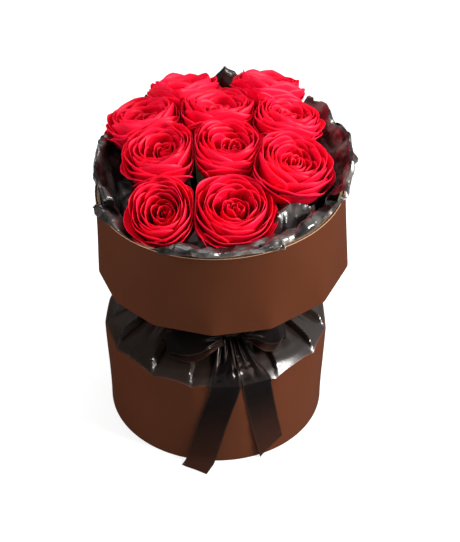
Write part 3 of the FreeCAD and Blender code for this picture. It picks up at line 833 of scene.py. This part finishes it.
hang = FILM_RADIUS + 1.0
left_tail = tail_grid([
    (276.5, 61, 108, 10, 20), (276.0, 70, 101.5, 14, 22), (275.2, 81, 95.5, 18, 22),
    (274.7, hang - 4, 90.6, 23, 32), (274.4, hang + 1.6, 86.5, RIBBON, 60),
    (274, hang + 0.6, 79, RIBBON, 90), (268, hang + 0.4, 43, RIBBON, 90),
    (263.5, hang + 0.4, 12, RIBBON, 86), (262.1, hang + 3, 3.4, RIBBON, 52),
    (261.0, hang + 7, 0.9, RIBBON, 8), (260, hang + 12, 0.5, RIBBON, 0)], 3, 0.30)
right_tail = tail_grid([
    (287.5, 61, 108, 10, 20), (288.2, 70, 101.5, 14, 22), (289.2, 81, 95.5, 18, 22),
    (290.2, hang - 4, 90.6, 23, 32), (290.7, hang + 1.6, 86.5, RIBBON, 60),
    (291, hang + 0.6, 79, RIBBON, 90), (295, hang + 0.4, 43, RIBBON, 90),
    (299.4, hang + 1.0, 8, RIBBON, 90)], 5, -0.62)


LOOP_LONG = 47


def loop_grid(side, seed, length):
    """A bow loop that comes out of the knot, fills out and turns back under itself."""
    along = unit(bow_side * side - bow_out * 0.10 - UP * 0.20)
    across = bow_out - UP * 0.42
    across = unit(across - along * np.dot(across, along))
    up = np.cross(along, across)
    up = up if up[2] > 0 else -up
    start = (bow_side * side * 9.5 + bow_out * (WAIST_RADIUS + 1.6 + RIBBON / 2 + 2)
             + UP * (waist_middle + KNOT_RISE))
    rows, columns = 70, 21
    outline = through([(0, 2.4, 0), (14, 5.5, 0), (32, 7.4, 0), (43, 5.0, 0), (LOOP_LONG, 0, 0),
                       (43, -4.6, 0), (32, -6.2, 0), (14, -4.6, 0), (0, -2.4, 0)], rows)
    u = np.linspace(-1, 1, columns)[None, :, None]
    reach = outline[:, 0][:, None, None]
    width = 9 + 16 * smooth(reach, 0, 24)
    gather = 1 - smooth(reach, 0, 22)
    folds = 1.5 * gather * np.cos(u * 8 + seed) + 0.5 * np.sin(reach / 5 + u * 2 + seed)
    height = outline[:, 1][:, None, None] + folds
    turning = smooth(reach, 26, LOOP_LONG) ** 1.5
    sideways = u * width / 2 - turning * (5.5 + 4.5 * u)
    height = height - turning * 2.5 * (u + 0.3)
    return start + along * reach * length / LOOP_LONG + up * height + across * sideways


KNOT_DEEP, KNOT_TALL, KNOT_HALF = 4.6, 6.2, 7.6


def squared(wave):
    """A sine or cosine that stays longer at its ends, for a rounded box instead of an oval."""
    return np.sign(wave) * np.abs(wave) ** 0.7


def knot_grid():
    """The turn of ribbon that holds the bow together."""
    rows, columns = 48, 25
    turn = np.linspace(0, 2 * math.pi, rows, endpoint=False)[:, None]
    u = np.linspace(-1, 1, columns)[None]
    bulge = 1 - 0.30 * u ** 4 + 0.035 * np.cos(u * 11) + 0.03 * np.sin(u * 5 + turn)
    deep = KNOT_DEEP * bulge * squared(np.cos(turn))
    tall = KNOT_TALL * bulge * squared(np.sin(turn))
    middle = bow_out * (WAIST_RADIUS + 1.8 + 4.8) + UP * (waist_middle + KNOT_RISE)
    return (middle + bow_side * (u * KNOT_HALF)[..., None] + bow_out * deep[..., None]
            + UP * tall[..., None])


def band_grid():
    """The ribbon round the waist, drawn in slightly by the bow."""
    bearing = np.arange(0, 360, 2.0)[None]
    share = np.linspace(0, 1, 21)[:, None]
    pinch = np.exp(-((bearing - BOW) / 16) ** 2)
    height = waist_middle + (share - 0.5) * RIBBON * (1 - 0.25 * pinch)
    radius = WAIST_RADIUS + 1.5 + 0.35 * np.sin(np.radians(bearing * 11) + share * 4)
    return polar(bearing, radius, height)


left_loop, right_loop = loop_grid(-1, 1, 46), loop_grid(1, 4, 37)
knot, band = np.swapaxes(knot_grid(), 0, 1), band_grid()
for name, grid, closed, held in (
        ("ribbon_tail_left", left_tail, False, "hung"),
        ("ribbon_tail_right", right_tail, False, "hung"),
        ("ribbon_loop_left", left_loop, False, "folded"),
        ("ribbon_loop_right", right_loop, False, "folded"),
        ("ribbon_knot", knot, True, "folded"), ("ribbon_band", band, True, "stretched")):
    made = piece(name + "_satin", [grid], "ribbon", RIBBON_GAUGE, around=closed, sharp=60)
    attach(made, "root")
    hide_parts(name)


# %% [markdown]
# ## Roses
# Petals stand in rings, from a tight heart to wide outer petals whose lips roll back. Each ring is
# turned past the one inside it, so that the petals of two rings don't line up. Where a neighbour
# presses on a head its petals give way.

# %% Roses
def press(points, name):
    """Moves petals back from the planes where the neighbours press."""
    middle, axis, radius = HEADS[name]
    for other, (there, leaning, wide) in HEADS.items():
        if other == name or np.linalg.norm(there - middle) > radius + wide + 3:
            continue
        between_axes = unit(axis + leaning)
        apart = there - middle
        normal = unit(apart - between_axes * (apart @ between_axes))
        plane = middle + apart * radius / (radius + wide) - normal * 0.3
        over = (points - plane) @ normal
        give = 0.12 * radius
        kept = np.where(over > -give, -give * np.exp(-(over + give) / give), over)
        points = points + (kept - over)[..., None] * normal
    return points


# Rings of petals from the heart outwards: how many, lip's radius and height, belly's radius,
# half width in degrees, and how far the lip rolls back. Lengths are shares of the head's radius.
RINGS = (
    (3, 0.09, 0.20, 0.12, 105, 0.00), (4, 0.20, 0.25, 0.24, 82, 0.01),
    (5, 0.33, 0.24, 0.38, 66, 0.02), (5, 0.55, 0.35, 0.55, 58, 0.03),
    (5, 0.64, 0.40, 0.66, 55, 0.04), (5, 0.73, 0.43, 0.76, 53, 0.05),
    (5, 0.82, 0.43, 0.85, 52, 0.08), (5, 0.91, 0.38, 0.93, 52, 0.12),
    (5, 0.99, 0.26, 0.98, 50, 0.20), (5, 1.08, 0.04, 1.02, 44, 0.16),
)
RING_TURN = 41


def petal(lip, top, belly, half, roll, turn, rng):
    """One petal in the head's frame, with lengths as shares of the head's radius."""
    rows, columns = 17, 17
    v = np.linspace(0, 1, rows)[:, None]
    u = np.linspace(-1, 1, columns)[None]
    point = 0.10 * max(0.0, lip - 0.55)
    fall = 0.10 + 0.08 * rng.random()
    w = v * (1 - fall * np.abs(u) ** 3.0 + point * np.clip(1 - np.abs(u) * 1.5, 0, 1) ** 1.3 * v)
    foot = 0.08 + 0.14 * lip

    def curve(a, b, c, d):
        return (1 - w) ** 3 * a + 3 * (1 - w) ** 2 * w * b + 3 * (1 - w) * w ** 2 * c + w ** 3 * d

    out = curve(foot, foot + 0.72 * belly, belly * 1.10, lip)
    up = curve(-0.80, -0.72 + 0.15 * (1 - lip), -0.22, top)
    lipward = smooth(v, 0.70, 1.0) ** 1.6
    corner = 0.75 + 0.25 * np.cos(u * math.pi) + rng.uniform(0, 0.5) * lip * np.abs(u) ** 2
    out = out + roll * lipward * corner
    up = up - 0.8 * roll * lipward * corner
    out = out + rng.uniform(0.015, 0.035) * u * v - 0.05 * u * u * v * (1 - 0.5 * lip)
    out = out + 0.022 * np.sin(u * rng.uniform(3, 6) + rng.uniform(0, 6)) * v * v
    up = up + 0.022 * np.sin(u * rng.uniform(3, 6) + rng.uniform(0, 6)) * v * v
    narrow = 0.40 + 0.60 * smooth(v, 0, 0.5)
    return polar(turn + u * half * narrow, np.maximum(out, 0.008), up)


def rose_grids(name, seed):
    """All the petals of one rose, in the row frame, and how much painted light or shade each gets."""
    rng = np.random.default_rng(seed)
    radius = HEADS[name][2]
    opening, turned, lean_x, lean_y, rise, wide_by, _ = HEARTS[name]
    right, back, up, middle = tipped(name)
    grids, tones = [], []
    for ring, (count, lip, top, belly, half, roll) in enumerate(RINGS):
        inner = max(0.0, 1 - lip / 0.75)
        for i in range(count):
            turn = turned + ring * RING_TURN + (i + rng.uniform(-0.16, 0.16)) * 360 / count
            wide = lip * (0.88 + 0.12 * opening) + rng.normal(0, 0.015)
            tall = top + rise * (0.4 + 0.6 * lip) + rng.normal(0, 0.030 + 0.035 * inner)
            grid = petal(wide, tall, belly, half * rng.uniform(0.88, 1.1), roll * rng.uniform(0.6, 1.5),
                         turn, rng)
            height = smooth(grid[..., 2], -0.9, 0.3)[..., None]
            heart = np.array([lean_x, lean_y, -0.05 * opening]) * inner ** 0.6 * 1.3
            stray = np.array([*rng.normal(0, 0.050, 2), 0]) * inner
            grid = (grid + (heart + stray) * height) * radius
            grid[..., 0] *= wide_by
            world = middle + grid[..., :1] * right + grid[..., 1:2] * back + grid[..., 2:] * up
            grids.append(press(world, name))
            # Painted light on a random share of the petals, more on the outer rings, and painted shade
            # on the inner ones.
            tones.append(rng.uniform(0.0, 0.8) * (0.3 + 0.7 * lip) - 0.30 * inner)
    return grids, tones


for number, name in enumerate(ROSES):
    grids, tones = rose_grids(name, 100 + number)
    flower = piece(name + "_petals", grids, "petals", PETAL_GAUGE, tones=tones)
    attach(flower, name)
    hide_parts(name + "_head")


# %% [markdown]
# ## Calyx
# Under each head sits a green cup with five sepals that arch out and down. They show when a rose
# is pulled out. One sepal is modelled as a thin skin, and a Geometry Nodes tree sets it round the
# cup as often as asked, each copy a little astray, because a whorl is a rule and not five shapes.

# %% Calyx
CUP_DEEP = 10.0
SEPALS = 5


def cup_grid():
    """The rounded cup, with its rim at height 0."""
    turn = np.linspace(0, 2 * math.pi, 24, endpoint=False)[None]
    v = np.linspace(0, 1, 14)[:, None]
    wide = np.interp(v, [0, 0.12, 0.30, 0.55, 0.80, 0.94, 1.0], [2.85, 3.4, 5.0, 6.7, 7.1, 6.5, 5.0])
    ribs = 1 + 0.025 * np.cos(turn * SEPALS) * np.sin(np.pi * v)
    return np.stack([wide * ribs * np.cos(turn), wide * ribs * np.sin(turn),
                     CUP_DEEP * (v - 1) + 0 * turn], -1)


def sepal_grid():
    """One narrow leaf that leaves the cup's rim along X and arches down to its tip."""
    v = np.linspace(0, 1, 15)[:, None]
    u = np.linspace(-1, 1, 7)[None]
    half = 3.3 * np.sin(np.pi * (0.20 + 0.80 * v)) ** 0.7 * (1 - 0.35 * v) + 0.05
    keel = -0.7 * (1 - np.abs(u)) * (1 - v)
    return np.stack([5.2 + 12.6 * v ** 0.92 + 0 * u, u * half,
                     -1.0 - 6.6 * v ** 1.7 + 1.1 * np.abs(u) ** 2 * (1 - v) + keel], -1)


def whorl_tree():
    """Sets copies of a leaf round the geometry that it is given."""
    tree = bpy.data.node_groups.new("whorl", "GeometryNodeTree")
    tree.interface.new_socket("Geometry", in_out="OUTPUT", socket_type="NodeSocketGeometry")
    for name, kind in (("Geometry", "Geometry"), ("Leaf", "Object"), ("Count", "Int"),
                       ("Stray", "Float"), ("Seed", "Int"), ("Material", "Material")):
        tree.interface.new_socket(name, in_out="INPUT", socket_type="NodeSocket" + kind)

    def node(kind, inputs=(), **settings):
        made = tree.nodes.new(kind)
        for key, value in settings.items():
            setattr(made, key, value)
        for key, value in dict(inputs).items():
            if isinstance(value, bpy.types.NodeSocket):
                tree.links.new(value, made.inputs[key])
            else:
                made.inputs[key].default_value = value
        return made

    given = node("NodeGroupInput").outputs
    leaf = node("GeometryNodeObjectInfo", {"Object": given["Leaf"]})
    spots = node("GeometryNodeMeshLine", {"Count": given["Count"], "Offset": (0, 0, 0)})
    step = node("ShaderNodeMath", {0: math.tau, 1: given["Count"]}, operation="DIVIDE")
    bearing = node("ShaderNodeMath", {0: node("GeometryNodeInputIndex").outputs[0],
                                      1: step.outputs[0]}, operation="MULTIPLY")
    turn = node("ShaderNodeCombineXYZ", {"Z": bearing.outputs[0]})
    stray = node("FunctionNodeRandomValue", {"Min": (-1, -1, -1), "Max": (1, 1, 1),
                                             "Seed": given["Seed"]}, data_type="FLOAT_VECTOR")
    off = node("ShaderNodeVectorMath", {0: stray.outputs["Value"], "Scale": given["Stray"]},
               operation="SCALE")
    whole = node("ShaderNodeVectorMath", {0: turn.outputs[0], 1: off.outputs[0]}, operation="ADD")
    leaves = node("GeometryNodeInstanceOnPoints",
                  {"Points": spots.outputs[0], "Instance": leaf.outputs["Geometry"],
                   "Rotation": whole.outputs[0]})
    both = node("GeometryNodeJoinGeometry")
    for part in (leaves.outputs[0], given["Geometry"]):
        tree.links.new(part, both.inputs[0])
    real = node("GeometryNodeRealizeInstances", {"Geometry": both.outputs[0]})
    done = node("GeometryNodeSetMaterial", {"Geometry": real.outputs[0],
                                            "Material": given["Material"]})
    tree.links.new(done.outputs[0], node("NodeGroupOutput").inputs[0])
    return tree


WHORL = whorl_tree()


def grown(name, mesh, **values):
    """A plain object: what the whorl tree makes of a mesh with these values."""
    made = placed(name, mesh)
    changer = made.modifiers.new("whorl", "NODES")
    changer.node_group = WHORL
    for socket in WHORL.interface.items_tree:
        if socket.in_out == "INPUT" and socket.name in values:
            changer[socket.identifier] = values[socket.name]
    shown = made.evaluated_get(bpy.context.evaluated_depsgraph_get())
    whole = bpy.data.meshes.new_from_object(shown)
    made.modifiers.remove(changer)
    made.data = whole
    return made


leaf = placed("sepal", skin_mesh("sepal", [sepal_grid()], LEAF_GAUGE, sharp=50))
for number, name in enumerate(ROSES):
    middle, axis, radius = HEADS[name]
    right = unit(np.cross(np.array([0.0, 1.0, 0.0]), axis))
    cup = skin_mesh(name + "_cup", [cup_grid()], LEAF_GAUGE, around=True)
    calyx = grown(name + "_calyx_leaves", cup, Leaf=leaf, Count=SEPALS, Stray=0.10, Seed=number,
                  Material=MATERIALS["sepals"])
    turn = Matrix([right, np.cross(axis, right), axis]).transposed().to_4x4()
    calyx.data.transform(Matrix.Translation(Vector((middle - axis * FOOT_BELOW * radius) * MM)) @ turn)
    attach(calyx, name)
    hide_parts(name + "_calyx")
    print(f"{calyx.name:22s} {len(calyx.data.polygons):6d} faces")
bpy.data.objects.remove(leaf)


# %% [markdown]
# ## What stays as it was built
# Card, pot, foam, tie, tapes and stems are plain shapes that the frame already has, so they only
# get their finish.

# %% Plain nodes
for name, node in frame["nodes"].items():
    slot = next((p["material_slot"] for p in frame["record"]["subparts"] if p["node"] == name))
    node.data.materials.clear()
    node.data.materials.append(MATERIALS[slot])
    node.data.polygons.foreach_set("use_smooth", np.ones(len(node.data.polygons), bool))
    node.data.set_sharp_from_angle(angle=math.radians(35))

# %% [markdown]
# ## Floor, light and camera
# A pale floor, a warm key lamp from the right, a weak top lamp and a fill that gives no highlights.
# The sky is brighter to the right, because glossy film shows what is around it.

# %% Stage
floor_mesh = bpy.data.meshes.new("floor")
floor_mesh.from_pydata([(-6, -6, 0), (6, -6, 0), (6, 6, 0), (-6, 6, 0)], [], [(0, 1, 2, 3)])
floor = bpy.data.objects.new("floor", floor_mesh)
bpy.context.scene.collection.objects.link(floor)
ground = Paint("ground", Roughness=0.9, Specular_IOR_Level=0.1)
ground.put("Base Color", (0.38, 0.38, 0.38, 1.0))
ground.put("Emission Color", (1.0, 1.0, 1.0, 1.0))
ground.put("Emission Strength", 0.72)
floor_mesh.materials.append(ground.material)
floor.visible_glossy = False


def lamp(name, bearing, elevation, distance, wide, tall, power, colour):
    """A soft box that faces the flower box."""
    data = bpy.data.lights.new(name, "AREA")
    data.shape, data.size, data.size_y = "RECTANGLE", wide, tall
    data.energy, data.color = power, colour
    made = bpy.data.objects.new(name, data)
    a, e = math.radians(bearing), math.radians(elevation)
    away = Vector((math.cos(a) * math.cos(e), math.sin(a) * math.cos(e), math.sin(e)))
    made.location = Vector((0, 0, 0.15)) + away * distance
    made.rotation_euler = away.to_track_quat("Z", "Y").to_euler()
    bpy.context.scene.collection.objects.link(made)
    return made


lamp("key", 340, 28, 1.7, 0.7, 0.7, 58, (1.0, 0.98, 0.95))
lamp("top", 90, 74, 1.6, 1.3, 1.1, 13, (1.0, 1.0, 1.0))
lamp("fill", 186, 30, 1.8, 0.8, 0.8, 20, (1.0, 1.0, 1.0)).visible_glossy = False
world = bpy.data.worlds.new("studio")
world.use_nodes = True
tree = world.node_tree
sides = tree.nodes.new("ShaderNodeSeparateXYZ")
tree.links.new(tree.nodes.new("ShaderNodeTexCoord").outputs["Generated"], sides.inputs[0])
to_right = Field(tree, sides.outputs["X"]).rise(-0.9, 0.9)
above = Field(tree, sides.outputs["Z"]).rise(-0.35, 0.25)
strength = (to_right * 0.44 + 0.05) * (above * 0.75 + 0.25)
tree.links.new(strength.socket, tree.nodes["Background"].inputs["Strength"])
tree.nodes["Background"].inputs["Color"].default_value = (1, 1, 1, 1)
scene = bpy.context.scene
scene.world = world
scene.view_settings.view_transform = "Standard"

CAMERA_DISTANCE, CAMERA_RISE = 1.25, 38
lens = bpy.data.cameras.new("camera")
lens.lens, lens.sensor_width, lens.sensor_fit = 97.97, 36, "AUTO"
lens.shift_x, lens.shift_y = 0.0258, 0.0037
camera = bpy.data.objects.new("camera", lens)
look = Vector((0, 0, 0.130))
height_angle = math.radians(CAMERA_RISE)
toward = Vector((0, -math.cos(height_angle), math.sin(height_angle)))
camera.location = look + toward * CAMERA_DISTANCE
camera.rotation_euler = toward.to_track_quat("Z", "Y").to_euler()
scene.collection.objects.link(camera)
scene.camera = camera
